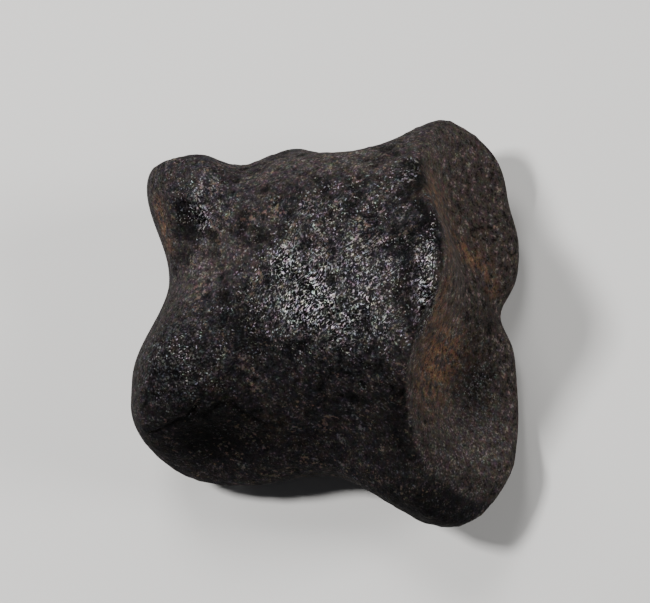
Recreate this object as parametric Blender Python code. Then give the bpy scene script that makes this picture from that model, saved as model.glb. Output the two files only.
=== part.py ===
"""A fossil horse's middle toe bone (second phalanx), life size, lying on its palmar side.

The bone is worked out in its own axes, in millimetres: x runs along it from the distal end to the
proximal end, y across it, and z from the palmar side to the dorsal side. Its plane of symmetry, through
the groove of the distal joint and the ridge of the proximal one, is y = 0. The finished bone is then
tipped a few degrees, as it lies, and stood on the ground plane.
"""
import math

import bmesh
import bpy
import numpy as np

MM = 0.001
NAME = "middle_phalanx"

# Distal joint: an arc about a cross axis, swept over two condyles with a groove between
PIVOT_X, PIVOT_Z = -10.5, -1.5
GROOVE_RADIUS = 10.6
CONDYLE_RISE = 3.9
OVALNESS = 0.93
PALMAR_SWEEP, DORSAL_SWEEP = math.radians(-104), math.radians(66)
INNER_PEAK, OUTER_PEAK = 13.0, 13.8
INNER_REACH, OUTER_REACH = -22.5, 16.0

# Proximal joint: two shallow dishes with a low ridge between, the inner dish wider than the outer
HALF_BREADTH = 25.3
MID_BREADTH = -3.5
WIDEST_Z = -3.5
PALMAR_DROP, DORSAL_RISE = -10.5, 14.8
FACE_X, FACE_SLOPE = 18.6, 0.47
DISH_DEPTH = 4.6

# How round the cross-section is (2 is an ellipse), and how crisp the rims of the two joints are
SECTION_POWER = 2.5
DISTAL_CRISP, PALMAR_CRISP, DORSAL_CRISP = 14.0, 15.0, 50.0

# Swellings and hollows on the body: centre, spread and the push at the centre
RELIEF = {
    "inner flank": ((4.0, -20.5, 4.5), (9.0, 5.5, 6.0), (0.0, 2.2, -6.0)),
    "inner waist": ((1.0, -24.0, -7.0), (6.0, 5.0, 7.0), (0.0, 3.0, 0.0)),
    "inner ligament pit": ((-12.5, -20.5, 1.5), (5.0, 4.0, 4.0), (0.0, 2.2, -2.4)),
    "inner condyle side": ((-11.5, -23.5, -5.0), (4.0, 4.0, 5.0), (0.0, -0.4, 0.0)),
    "inner tubercle": ((14.3, -27.0, -8.0), (6.0, 6.0, 6.0), (0.6, -2.0, 0.0)),
    "outer waist": ((-9.4, 16.0, 5.7), (4.5, 5.0, 4.2), (0.0, -0.9, -0.5)),
    "outer side": ((3.0, 20.0, 0.0), (7.0, 5.0, 7.0), (0.0, -2.2, 0.0)),
    "outer side boss": ((-5.6, 17.5, -2.0), (2.6, 4.0, 4.0), (0.0, 1.4, 0.0)),
    "outer ligament pit": ((-12.0, 18.0, -3.0), (3.5, 4.0, 4.0), (0.0, -1.6, 0.0)),
    "outer knob": ((-15.3, 14.0, 7.0), (4.0, 4.0, 4.5), (0.0, 0.6, 1.3)),
    "hollow behind the knob": ((-9.5, 13.0, 6.5), (2.4, 3.2, 3.5), (0.0, -0.2, -1.6)),
    "notch behind the knob": ((-12.1, 15.5, 5.0), (1.8, 3.0, 3.0), (0.0, -0.7, -0.5)),
    "hollow above the inner condyle": ((-5.5, -13.0, 8.5), (3.6, 5.0, 4.5), (0.0, 0.6, -2.0)),
    "outer tubercle": ((13.9, 21.0, -4.0), (4.5, 5.0, 6.0), (0.0, 1.9, 0.0)),
    "hollow behind the dorsal lip": ((-14.0, 7.0, 9.0), (3.0, 4.0, 4.0), (0.0, 0.0, -1.2)),
    "dorsal dome": ((1.0, -4.5, 12.0), (8.0, 5.5, 8.0), (0.0, 0.0, 1.8)),
    "palmar hollow": ((1.0, -2.0, -14.0), (7.0, 12.0, 5.0), (0.0, 0.0, 2.6)),
    "inner palmar boss": ((17.5, -13.0, -14.0), (4.5, 7.5, 4.0), (0.0, 0.0, -3.5)),
    "outer palmar boss": ((17.0, 8.5, -14.0), (4.5, 6.0, 4.0), (0.0, 0.0, -3.45)),
}

# How the bone lies: tipped up a little at the proximal end, on small flats worn on four bosses
REST_PITCH, REST_ROLL = math.radians(5.0), math.radians(-0.55)
FLAT_DEPTH = 0.35
GRID_CELLS = 30
STONE_COLOUR = (0.045, 0.038, 0.033, 1.0)


def blend(low, high, value):
    """0 below low, 1 above high, level at both ends."""
    t = np.clip((value - low) / (high - low), 0.0, 1.0)
    return t * t * (3.0 - 2.0 * t)


def bell(value, centre, spread):
    return np.exp(-0.5 * ((value - centre) / spread) ** 2)


def rise(value):
    """Half a cosine wave from 0 at 0 to 1 at 1."""
    return 0.5 - 0.5 * np.cos(math.pi * np.clip(value, 0.0, 1.0))


def span(low, high, t):
    """low at -1, 0 at 0 and high at 1, on one smooth curve."""
    return 0.5 * (high - low) * t + 0.5 * (high + low) * t**2


def distal_joint(b, c):
    """The trochlea: b goes across, c from the palmar end of its arc (-1) to the dorsal end (1)."""
    angle = span(PALMAR_SWEEP, DORSAL_SWEEP, c)
    inner = INNER_REACH + 4.4 * blend(-0.1, 1.3, angle) - 3.0 * blend(-0.1, 0.8, -angle)
    outer = OUTER_REACH + 0.6 * blend(0.0, 0.8, -angle)
    y = span(inner, outer, b)
    swell = np.where(y < 0, rise(-y / INNER_PEAK) ** 0.85, rise(y / OUTER_PEAK))
    radius = GROOVE_RADIUS + CONDYLE_RISE * swell
    radius -= 2.2 * blend(16.0, 25.0, -y) + 0.5 * blend(14.5, 17.5, y)
    x = PIVOT_X - radius * np.cos(angle)
    z = PIVOT_Z + radius * OVALNESS * np.sin(angle)
    return np.stack([x, y, z], axis=-1)


def proximal_joint(b, c):
    """The two dishes: a height in x over the breadth and the depth of the bone."""
    y = MID_BREADTH + HALF_BREADTH * b
    z = WIDEST_Z + span(PALMAR_DROP, DORSAL_RISE, c)
    z += 2.8 * bell(y, 1.0, 9.0) * blend(-4.0, 12.0, z)
    x = FACE_X - FACE_SLOPE * z - 0.035 * (y + 14.0) + 1.2 * blend(0.0, 10.0, -z)
    # The palmar border rolls over
    x -= 0.10 * np.maximum(-8.0 - z, 0.0) ** 2
    # The two sides drop away, the outer one more
    x -= 1.3 * np.abs(b) ** 4 + 0.8 * blend(9.0, 15.0, y) + 0.7 * blend(15.0, 24.0, y)
    x -= 2.8 * blend(19.7, 28.5, -y) - 1.0 * bell(y, -15.0, 4.5) * blend(2.0, 12.0, -z)
    x += 0.8 * bell(y, 17.0, 4.0) * blend(0.0, 8.0, z)
    # The extensor process on the dorsal rim, and the notch and the outer lobe of the palmar rim
    x += 6.9 * bell(y, 1.2, 7.4) * blend(-8.0, 14.0, z)
    x -= 2.2 * bell(y, -0.8, 2.4) * blend(3.0, 11.0, -z)
    x += 0.8 * bell(y, 8.6, 4.0) * blend(0.0, 12.0, -z)
    # The dishes
    inside = (1.0 - b**2) * (1.0 - c**2)
    x -= DISH_DEPTH * inside * (bell(y, -14.5, 8.0) + 0.9 * bell(y, 10.0, 6.5))
    return np.stack([x, y, z], axis=-1)


def round_rims(cube):
    """Draws the points of a cube in where its end faces meet its sides."""
    a, b, c = cube[:, 0], cube[:, 1], cube[:, 2]
    side = np.maximum(np.abs(b), np.abs(c))
    proximal = PALMAR_CRISP + (DORSAL_CRISP - PALMAR_CRISP) * blend(-0.2, 0.9, c)
    power = DISTAL_CRISP + (proximal - DISTAL_CRISP) * blend(-0.2, 0.2, a)
    return cube / ((np.abs(a) ** power + side**power) ** (1.0 / power))[:, None]


def round_section(b, c):
    """The square cross-section of the cube, made a superellipse of the same breadth and depth."""
    side = np.maximum(np.abs(b), np.abs(c))
    length = (np.abs(b) ** SECTION_POWER + np.abs(c) ** SECTION_POWER) ** (1.0 / SECTION_POWER)
    scale = side / np.maximum(length, 1e-9)
    return b * scale, c * scale


def bone_points(cube):
    """Points of the bone, in millimetres in its own axes, for points on the cube from -1 to 1."""
    cube = round_rims(cube)
    b, c = round_section(cube[:, 1], cube[:, 2])
    along = 0.5 * (cube[:, :1] + 1.0)
    points = (1.0 - along) * distal_joint(b, c) + along * proximal_joint(b, c)
    for centre, spread, push in RELIEF.values():
        distance = ((points - np.array(centre)) / np.array(spread)) ** 2
        points = points + np.exp(-0.5 * distance.sum(axis=-1, keepdims=True)) * np.array(push)
    return points


def turned(points, first, second, angle):
    """The points turned in the plane of two axes, from the first towards the second."""
    result = points.copy()
    result[:, first] = math.cos(angle) * points[:, first] - math.sin(angle) * points[:, second]
    result[:, second] = math.sin(angle) * points[:, first] + math.cos(angle) * points[:, second]
    return result


def set_down(points):
    """The points turned as the bone lies, centred over the origin and sunk by the depth of the flats."""
    points = turned(turned(points, 0, 2, REST_PITCH), 1, 2, REST_ROLL)
    low, high = points.min(axis=0), points.max(axis=0)
    middle = 0.5 * (low + high)
    return points - (middle[0], middle[1], low[2] + FLAT_DEPTH)


def clear_scene():
    for obj in list(bpy.data.objects):
        bpy.data.objects.remove(obj, do_unlink=True)


def collection(name):
    made = bpy.data.collections.new(name)
    bpy.context.scene.collection.children.link(made)
    return made


def stone_material():
    material = bpy.data.materials.new("river_stained_fossil")
    material.use_nodes = True
    shader = material.node_tree.nodes["Principled BSDF"]
    shader.inputs["Base Color"].default_value = STONE_COLOUR
    shader.inputs["Roughness"].default_value = 0.45
    shader.inputs["Metallic"].default_value = 0.0
    return material


def bone_mesh():
    """A cube cut into a fine grid, with its points moved out to the bone."""
    form = bmesh.new()
    bmesh.ops.create_cube(form, size=2.0)
    bmesh.ops.subdivide_edges(form, edges=form.edges[:], cuts=GRID_CELLS - 1, use_grid_fill=True)
    points = set_down(bone_points(np.array([vert.co[:] for vert in form.verts])))
    for vert, point in zip(form.verts, points * MM):
        vert.co = point
    bmesh.ops.recalc_face_normals(form, faces=form.faces[:])
    mesh = bpy.data.meshes.new(NAME)
    form.to_mesh(mesh)
    form.free()
    mesh.shade_smooth()
    return mesh


def ground_cutter(cutters):
    """A slab under the ground plane that takes off the small flats on which the bone lies."""
    slab = bmesh.new()
    bmesh.ops.create_cube(slab, size=1.0)
    bmesh.ops.scale(slab, vec=(80 * MM, 80 * MM, 20 * MM), verts=slab.verts)
    mesh = bpy.data.meshes.new("ground_cutter")
    slab.to_mesh(mesh)
    slab.free()
    cutter = bpy.data.objects.new("ground_cutter", mesh)
    cutter.location.z = -10 * MM
    cutter.hide_render = True
    cutter.display_type = "WIRE"
    cutters.objects.link(cutter)
    return cutter


def build():
    clear_scene()
    parts = collection("fossil_horse_toe_bone")
    cutters = collection("cutters")
    bone = bpy.data.objects.new(NAME, bone_mesh())
    bone.data.materials.append(stone_material())
    parts.objects.link(bone)
    flats = bone.modifiers.new("Resting flats", "BOOLEAN")
    flats.operation = "DIFFERENCE"
    flats.object = ground_cutter(cutters)


build()
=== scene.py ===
"""A fossil horse's middle toe bone, dark from a river bed, lying palmar side down on a pale floor.

Lengths are millimetres in the bone's own axes: x from the distal to the proximal end, y from the inner to
the outer side, z from the palmar to the dorsal side. The last steps turn the bone as it lies and change
millimetres to metres.
"""
import math

import bpy
import numpy as np
from mathutils import Matrix


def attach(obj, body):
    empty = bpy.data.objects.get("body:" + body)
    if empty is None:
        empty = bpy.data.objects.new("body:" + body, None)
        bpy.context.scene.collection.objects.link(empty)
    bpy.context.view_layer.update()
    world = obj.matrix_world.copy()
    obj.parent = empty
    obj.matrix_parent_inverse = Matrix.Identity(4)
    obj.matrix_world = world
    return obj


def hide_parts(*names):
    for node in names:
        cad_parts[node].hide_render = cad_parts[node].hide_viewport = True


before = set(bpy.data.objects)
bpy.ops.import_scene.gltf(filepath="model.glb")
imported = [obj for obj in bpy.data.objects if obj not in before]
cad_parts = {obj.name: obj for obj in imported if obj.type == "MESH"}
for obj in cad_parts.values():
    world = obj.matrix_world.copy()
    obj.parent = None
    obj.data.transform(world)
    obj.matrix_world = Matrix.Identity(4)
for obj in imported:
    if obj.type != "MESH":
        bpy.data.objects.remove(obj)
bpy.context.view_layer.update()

MM = 0.001
NODE = "middle_phalanx"

# Distal joint: an arc about a cross axis, swept over two condyles with a groove between
PIVOT_X, PIVOT_Z = -10.5, -1.5
GROOVE_RADIUS = 10.6
CONDYLE_RISE = 3.9
OVALNESS = 0.93
PALMAR_SWEEP, DORSAL_SWEEP = math.radians(-104), math.radians(66)
INNER_PEAK, OUTER_PEAK = 13.0, 13.8
INNER_FULLNESS = 0.85
INNER_REACH, OUTER_REACH = -22.5, 16.0

# Moves of its two sides in y: amount, and the angles in radians at which each starts and is full
INNER_DRAWN_IN, INNER_FLARE, OUTER_FLARE = (4.4, -0.1, 1.3), (-3.0, 0.1, -0.8), (0.6, 0.0, -0.8)

# Falls of its radius towards the two sides: amount, and the y at which each starts and is full
INNER_FALL, OUTER_FALL = (-2.2, -16.0, -25.0), (-0.5, 14.5, 17.5)

# Proximal joint: two shallow dishes with a low ridge between, the inner dish wider than the outer
HALF_BREADTH = 25.3
MID_BREADTH = -3.5
WIDEST_Z = -3.5
PALMAR_DROP, DORSAL_RISE = -10.5, 14.8
FACE_X, FACE_SLOPE = 18.6, 0.47
FACE_TURN, FACE_TURN_Y = 0.035, -14.0
DISH_DEPTH = 4.6

# The two dishes: share of the depth, place and spread in y
DISHES = ((1.0, -14.5, 8.0), (0.9, 10.0, 6.5))

# The palmar border flares (amount, and the z at which that starts and is full) and rolls over below a height
PALMAR_FLARE = (1.2, 0.0, -10.0)
ROLL_TOP_Z, ROLL = -8.0, 0.10

# The two sides drop by a power of the breadth, and by amounts with the y at which each starts and is full
SIDE_DROP, SIDE_POWER = 1.3, 4
SIDE_FALLS = ((-0.8, 9.0, 15.0), (-0.7, 15.0, 24.0), (-2.8, -19.7, -28.5))

# Features of the rim: amount in x, place and spread in y, and the z at which each starts and is full
RIM_FEATURES = {
    "extensor process": (6.9, 1.2, 7.4, -8.0, 14.0),
    "outer end of the dorsal rim": (0.8, 17.0, 4.0, 0.0, 8.0),
    "inner lobe of the palmar rim": (1.0, -15.0, 4.5, -2.0, -12.0),
    "notch of the palmar rim": (-2.2, -0.8, 2.4, -3.0, -11.0),
    "outer lobe of the palmar rim": (0.8, 8.6, 4.0, 0.0, -12.0),
}

# The extensor process also stands up in z, by the same kind of shape
EXTENSOR_LIFT = (2.8, 1.0, 9.0, -4.0, 12.0)

# How round the cross-section is: 2 is an ellipse
SECTION_POWER = 2.5

# How crisp the rims of the two joints are, and the places in the cube between which that changes
DISTAL_CRISP, PALMAR_CRISP, DORSAL_CRISP = 14.0, 15.0, 50.0
CRISP_OVER_DEPTH, CRISP_OVER_LENGTH = (-0.2, 0.9), (-0.2, 0.2)

# Swellings and hollows on the body: centre, spread and the push at the centre
SWELLINGS = {
    "inner flank": ((4.0, -20.5, 4.5), (9.0, 5.5, 6.0), (0.0, 2.2, -6.0)),
    "inner waist": ((1.0, -24.0, -7.0), (6.0, 5.0, 7.0), (0.0, 3.0, 0.0)),
    "inner ligament pit": ((-12.5, -20.5, 1.5), (5.0, 4.0, 4.0), (0.0, 2.2, -2.4)),
    "inner condyle side": ((-11.5, -23.5, -5.0), (4.0, 4.0, 5.0), (0.0, -0.4, 0.0)),
    "inner tubercle": ((14.3, -27.0, -8.0), (6.0, 6.0, 6.0), (0.6, -2.0, 0.0)),
    "outer waist": ((-9.4, 16.0, 5.7), (4.5, 5.0, 4.2), (0.0, -0.9, -0.5)),
    "outer side": ((3.0, 20.0, 0.0), (7.0, 5.0, 7.0), (0.0, -2.2, 0.0)),
    "outer side boss": ((-5.6, 17.5, -2.0), (2.6, 4.0, 4.0), (0.0, 1.4, 0.0)),
    "outer ligament pit": ((-12.0, 18.0, -3.0), (3.5, 4.0, 4.0), (0.0, -1.6, 0.0)),
    "outer knob": ((-15.3, 14.0, 7.0), (4.0, 4.0, 4.5), (0.0, 0.6, 1.3)),
    "hollow behind the knob": ((-9.5, 13.0, 6.5), (2.4, 3.2, 3.5), (0.0, -0.2, -1.6)),
    "notch behind the knob": ((-12.1, 15.5, 5.0), (1.8, 3.0, 3.0), (0.0, -0.7, -0.5)),
    "hollow above the inner condyle": ((-5.5, -13.0, 8.5), (3.6, 5.0, 4.5), (0.0, 0.6, -2.0)),
    "outer tubercle": ((13.9, 21.0, -4.0), (4.5, 5.0, 6.0), (0.0, 1.9, 0.0)),
    "hollow behind the dorsal lip": ((-14.0, 7.0, 9.0), (3.0, 4.0, 4.0), (0.0, 0.0, -1.2)),
    "dorsal dome": ((1.0, -4.5, 12.0), (8.0, 5.5, 8.0), (0.0, 0.0, 1.8)),
    "palmar hollow": ((1.0, -2.0, -14.0), (7.0, 12.0, 5.0), (0.0, 0.0, 2.6)),
    "inner palmar boss": ((17.5, -13.0, -14.0), (4.5, 7.5, 4.0), (0.0, 0.0, -3.5)),
    "outer palmar boss": ((17.0, 8.5, -14.0), (4.5, 6.0, 4.0), (0.0, 0.0, -3.45)),
}

# How the bone lies, and the coarser grid on which its place is worked out
REST_PITCH, REST_ROLL = math.radians(5.0), math.radians(-0.55)
FLAT_DEPTH = 0.35
PLACING_CELLS = (30, 30, 30)

# Cells of the surface along, across and through the bone
SURFACE_CELLS = (150, 160, 78)

# Creases, crests and shallow hollows: path, width and height
RELIEF_LINES = {
    "crease below the extensor process": (
        ((15.8, 3.9, 13.4), (17.1, 2.7, 13.7), (18.4, 1.8, 13.8)), 0.35, -0.60,
    ),
    "crease beside the rim": (((14.5, 7.8, 12.2), (15.6, 6.4, 12.8), (16.8, 4.6, 13.4)), 0.35, -0.50),
    "crease at the outer end of the rim": (
        ((12.2, 14.0, 9.2), (13.4, 13.0, 9.7), (14.6, 11.6, 10.2)), 0.50, -0.45,
    ),
    "crest of the inner condyle": (
        (
            (-8.5, -9.5, 8.7), (-11.0, -13.0, 8.5), (-12.8, -15.4, 7.8), (-17.0, -17.6, 6.2),
            (-21.0, -19.0, 4.0),
        ),
        0.90, 0.35,
    ),
    "crease under the crest": (
        (
            (-21.1, -19.8, 3.2), (-17.3, -18.7, 4.7), (-14.8, -17.6, 5.9), (-13.2, -16.2, 7.4),
            (-12.5, -15.2, 7.9),
        ),
        0.30, -0.34,
    ),
    "crease over the ligament pit": (
        (
            (-13.4, -17.9, 4.8), (-11.4, -16.8, 5.9), (-9.7, -16.5, 5.6), (-8.5, -17.4, 3.8),
            (-6.4, -18.4, 2.1),
        ),
        0.30, -0.34,
    ),
    "edge of the distal groove": (
        ((-18.6, 8.6, 7.2), (-19.2, 6.0, 5.8), (-19.3, 3.6, 4.6), (-18.8, 1.6, 4.4)), 0.55, 0.35,
    ),
    "hollow inside the knob": (((-16.6, 8.3, 8.1), (-16.3, 6.9, 7.7)), 0.95, -0.40),
    "hollow below the knob": (((-16.2, 5.4, 7.3), (-17.4, 3.2, 5.9), (-18.0, 1.2, 5.2)), 0.95, -0.12),
}

# Lumps and furrows: height, size and seed
BROAD_LUMPS = (0.10, 5.0, 11)
MIDDLE_LUMPS = (0.15, 2.1, 12)
FURROWS = (0.16, 1.3, 13)
SMALL_LUMPS = (0.08, 0.8, 14)

# Lumps that shift the lines and furrows along the three axes, so that none runs straight
STRAYS = ((0.30, 1.6, 51), (0.30, 1.6, 52), (0.30, 1.6, 53))

# Pits: depth, size and seed of their lattice, and the share of its cells that hold one
LARGE_PITS = (0.20, 1.9, 21, 0.35)
SMALL_PITS = (0.18, 1.1, 31, 0.50)
JOINT_PITS = (0.06, 2.6, 41, 0.22)

# Spread of the narrowest and the widest pit, in cells
NARROW_PIT, WIDE_PIT = 0.132, 0.264

# Roughness of the palmar side, and the z at which it starts to grow and is full on the dorsal side
PALMAR_ROUGH, DORSAL_START = 0.55, (1.0, 7.0)

# Share of the broad lumps' height that is left on a joint
BROAD_ON_JOINT = 0.4

# Heights between which a low place is painted black, as shade in its pits, furrows and creases
SHADED_LOW_HEIGHTS = (-0.02, -0.26)

# Large numbers that scramble a whole-number place and a seed
PLACE_FACTORS, SEED_FACTOR = (73856093, 19349663, 83492791), 40503

# Shifts and large numbers that scramble the result again, and the bits that are kept
SCRAMBLES, LAST_SHIFT = ((13, 1274126177), (16, 668265263)), 15
WORD, HALF_WORD = 0xFFFFFFFF, 0xFFFF

# Start of the lattices, which keeps their whole numbers above nought
LATTICE_START = 100.0

# Smooth face of the proximal joint, by place in the cube: its border along the bone and its dorsal rim
FACE_BORDER = (0.982, 0.997)
FACE_RIM, FACE_RIM_SOFT = 0.99, 0.02

# Dips of that rim beside the extensor process: depth, place and spread in y
FACE_RIM_DIPS = ((-0.11, 7.2, 2.2), (-0.15, -6.7, 2.4))

# Edge of the face beside the inner tubercle: its y, how far that moves over z, and its softness
TUBERCLE_EDGE, TUBERCLE_EDGE_MOVE, TUBERCLE_EDGE_SOFT = -26.2, (5.0, -5.5, 5.5), 0.2

# Smooth arc of the distal joint, in degrees: its dorsal edge, a step up to the outer side, its palmar edge
ARC_EDGE, ARC_EDGE_OUTER, ARC_EDGE_SOFT = 37.0, (14.0, 3.0, 8.0), 2.0
ARC_PALMAR_EDGE = (-118.0, -104.0)

# Rises of the dorsal edge beside the groove and on the inner condyle: height, place and spread in y
ARC_EDGE_RISES = ((30.0, -3.2, 3.0), (13.0, -10.5, 3.5))

# Places in the cube between which the arc ends, across and along the bone
ARC_SIDES, ARC_END = (0.99, 0.93), (-0.45, -0.55)

# Places of each finish: centre, spread and strength; lines of each finish: path, width and strength. Some of
# these finishes are painted glints, painted light and painted shade
# Gloss: real glossy roughness and wrinkles, and also painted glints, near-white strokes and specks in the
# colour, most on the dome
GLOSS_AND_GLINT_PLACES = {
    "lower half of the dome": ((2.6, -3.7, 12.0), (3.9, 2.5, 5.0), 0.60),
    "lower left of the dome": ((-0.3, -5.4, 11.6), (1.4, 1.2, 3.0), 0.65),
    "left of the dome": ((-0.4, -1.2, 11.4), (1.0, 1.0, 3.0), 0.40),
    "right half of the dome": ((8.5, -2.5, 13.0), (3.0, 3.6, 4.0), 0.26),
    "lower right of the dome": ((9.0, -7.6, 12.4), (3.2, 1.4, 3.0), 0.28),
    "dome": ((3.0, -2.6, 12.0), (7.5, 6.0, 5.0), 0.25),
    "beside the extensor process": ((16.3, -1.6, 13.8), (0.9, 3.6, 4.0), 1.00),
    "inner condyle": ((-16.0, -11.5, 8.0), (4.8, 4.5, 5.0), 0.10),
    "knob": ((-14.3, 9.2, 8.6), (2.4, 2.2, 3.0), 0.28),
    "crest of the knob": ((-14.6, 7.2, 8.1), (0.6, 1.8, 2.0), 0.60),
    "outer half of the dorsal face": ((6.0, 8.0, 11.0), (8.0, 4.0, 5.0), 0.11),
    "outer end of the rim": ((12.8, 12.6, 9.8), (1.4, 1.4, 2.0), 0.32),
}
GLOSS_AND_GLINT_LINES = {
    "band over the dome": (
        ((-2.2, 0.0, 11.2), (-1.2, -1.8, 11.5), (0.3, -3.6, 11.9), (2.6, -5.2, 12.2)), 1.40, 0.90,
    ),
}
# Pale places: partly pale wear, partly painted light on sides, edges and a valley that face the lamps
PALE_AND_LIT_PLACES = {
    "outer side": ((0.0, 15.0, 6.5), (9.0, 3.0, 6.0), 0.55),
    "outer lobe": ((14.0, 19.0, 3.0), (5.0, 5.0, 7.0), 0.20),
    "valley": ((-14.0, 1.8, 7.4), (2.8, 3.2, 3.0), 0.80),
    "between the valley and the dome": ((-6.6, 3.6, 10.0), (2.2, 1.8, 3.0), 0.35),
    "outer edge of the dorsal face": ((-7.0, 10.8, 8.5), (1.6, 3.0, 3.0), 0.25),
    "outer edge by the rim": ((8.2, 14.3, 8.4), (1.8, 1.5, 2.5), 0.35),
    "lower lobe": ((18.0, -18.2, -4.0), (4.4, 4.0, 6.0), 0.55),
    "lower edge of the inner dish": ((16.5, -23.2, -1.5), (2.2, 1.6, 2.6), 0.60),
}
# Pale lines: the pale band of the inner condyle, and painted highlights along the rims of the inner dish and
# the extensor process
PALE_AND_LIT_LINES = {
    "band of the inner condyle": (
        ((-18.0, -5.0, 6.2), (-19.5, -8.0, 6.4), (-21.3, -12.0, 6.0), (-22.5, -16.0, 4.0)), 1.10, 0.15,
    ),
    "rim of the inner dish": (
        (
            (14.6, -10.2, 11.2), (13.7, -14.9, 8.7), (13.7, -18.4, 6.2), (14.3, -21.3, 3.6),
            (15.1, -23.1, 1.2), (17.0, -24.7, -2.1), (18.5, -25.6, -4.3), (20.0, -25.9, -6.4),
        ),
        0.32, 1.00,
    ),
    "rim of the extensor process": (
        (
            (16.5, 7.5, 10.1), (17.6, 5.3, 11.3), (18.3, 3.1, 12.5), (18.5, 0.0, 13.3),
            (17.7, -3.8, 12.0), (16.8, -5.7, 10.8),
        ),
        0.22, 0.60,
    ),
}
STAIN_PLACES = {
    "inner dish by the rim": ((16.4, -8.0, 0.5), (2.6, 2.2, 4.2), 1.00),
    "inner dish": ((15.2, -12.3, 2.5), (2.6, 3.0, 4.0), 0.85),
    "ridge": ((16.5, -5.0, 9.0), (3.0, 2.0, 3.0), 0.35),
    "outer dish by the rim": ((15.6, 10.8, 6.6), (1.7, 2.4, 3.4), 0.80),
    "outer dish": ((17.0, 6.0, -1.0), (3.0, 2.4, 4.0), 0.30),
    "tubercle": ((21.1, -25.9, -6.2), (0.5, 0.5, 0.6), 1.00),
    "under the inner crest": ((-11.9, -14.9, 7.9), (0.9, 0.7, 1.0), 0.20),
    "above the inner crest": ((-10.0, -13.5, 8.0), (0.8, 0.6, 1.0), 0.12),
    "hollow behind the condyle": ((-7.5, -11.8, 7.5), (0.5, 1.0, 1.0), 0.22),
    "flank": ((-6.2, -14.6, 5.7), (0.6, 0.6, 0.8), 0.30),
    "lower flank": ((-5.0, -18.6, 1.9), (1.4, 1.2, 1.6), 0.32),
}
STAIN_LINES = {
    "streak over the ridge": (((17.2, 5.5, -2.4), (19.4, 3.8, -6.9), (20.3, 1.5, -8.9)), 0.90, 0.80),
    "along the dorsal rim": (
        ((15.8, 8.7, 9.0), (17.6, 4.4, 10.4), (18.2, 0.0, 11.4), (16.8, -5.0, 10.2)), 1.30, 0.45,
    ),
    "groove of the distal joint": (((-21.2, 9.4, 6.5), (-20.4, 7.0, 5.5), (-19.9, 4.8, 4.4)), 0.90, 0.90),
}
# Dark places: black painted as shade in pits, hollows, creases and below edges, with some dark stain
SHADE_AND_STAIN_PLACES = {
    "ligament pit": ((-14.0, -20.5, 1.0), (6.5, 3.5, 4.5), 0.82),
    "lower flank": ((1.0, -20.0, 0.0), (10.0, 5.0, 6.0), 0.40),
    "below the dome": ((1.0, -13.5, 7.0), (7.0, 2.5, 3.0), 0.36),
    "inner tubercle": ((14.5, -27.2, -3.5), (6.0, 4.2, 6.0), 0.82),
    "patch in the inner dish": ((18.7, -11.2, -6.4), (2.1, 3.4, 2.8), 0.75),
    "notch of the palmar rim": ((20.0, -3.0, -7.0), (2.0, 2.4, 3.0), 0.40),
    "knob pit": ((-16.2, 7.4, 7.9), (1.5, 1.6, 1.5), 0.50),
    "outer end of the dorsal rim": ((13.7, 12.0, 9.3), (1.6, 2.2, 1.4), 0.80),
    "inner condyle": ((-15.5, -12.5, 8.0), (4.5, 4.5, 4.5), 0.82),
    "lower edge of the dome": ((4.0, -10.4, 11.0), (5.5, 1.4, 3.0), 0.50),
    "hollow above the inner condyle": ((-6.7, -6.6, 9.8), (3.0, 3.0, 2.7), 0.82),
    "outer face by the rim": ((11.3, 8.8, 11.6), (1.8, 3.0, 2.0), 0.30),
    "inside the extensor process": ((14.0, -0.6, 13.5), (1.0, 4.5, 2.0), 0.65),
    "outer half of the dorsal face": ((2.0, 7.9, 11.0), (3.6, 2.0, 2.0), 0.28),
    "flank beside the inner dish": ((10.3, -18.0, 6.0), (3.0, 5.0, 3.5), 0.30),
    "under the groove's edge": ((-18.4, 2.0, 4.9), (0.6, 1.2, 0.8), 0.40),
}
# Dark lines: black painted as shade along a crease and outside the rim of the inner dish
PAINTED_SHADE_LINES = {
    "outside the inner dish": (
        ((12.3, -12.9, 10.4), (11.8, -16.0, 7.8), (12.0, -19.5, 4.8), (12.6, -22.0, 3.6)), 1.20, 0.35,
    ),
    "crease beside the extensor process": (
        ((9.6, 2.2, 12.9), (11.2, 2.6, 13.1), (12.8, 2.9, 13.3)), 0.50, 0.60,
    ),
}
# Places with more painted glint specks
GLINT_SPECK_PLACES = {
    "patch in the inner dish": ((19.0, -11.6, -6.0), (2.0, 4.0, 3.0), 0.55),
    "lower lobe": ((20.5, -17.5, -7.0), (1.6, 5.5, 3.0), 0.40),
    "end of the ridge": ((17.0, -5.5, 0.5), (2.0, 1.4, 2.0), 0.40),
    "inner condyle": ((-16.5, -11.0, 8.0), (4.2, 3.8, 5.0), 0.75),
    "beside the dome": ((-6.0, -5.0, 9.5), (5.0, 5.0, 5.0), 0.30),
    "below the dome": ((6.0, -11.0, 10.0), (6.0, 2.5, 4.0), 0.30),
    "knob": ((-15.5, 12.5, 8.0), (4.0, 4.0, 4.0), 0.35),
}

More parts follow.
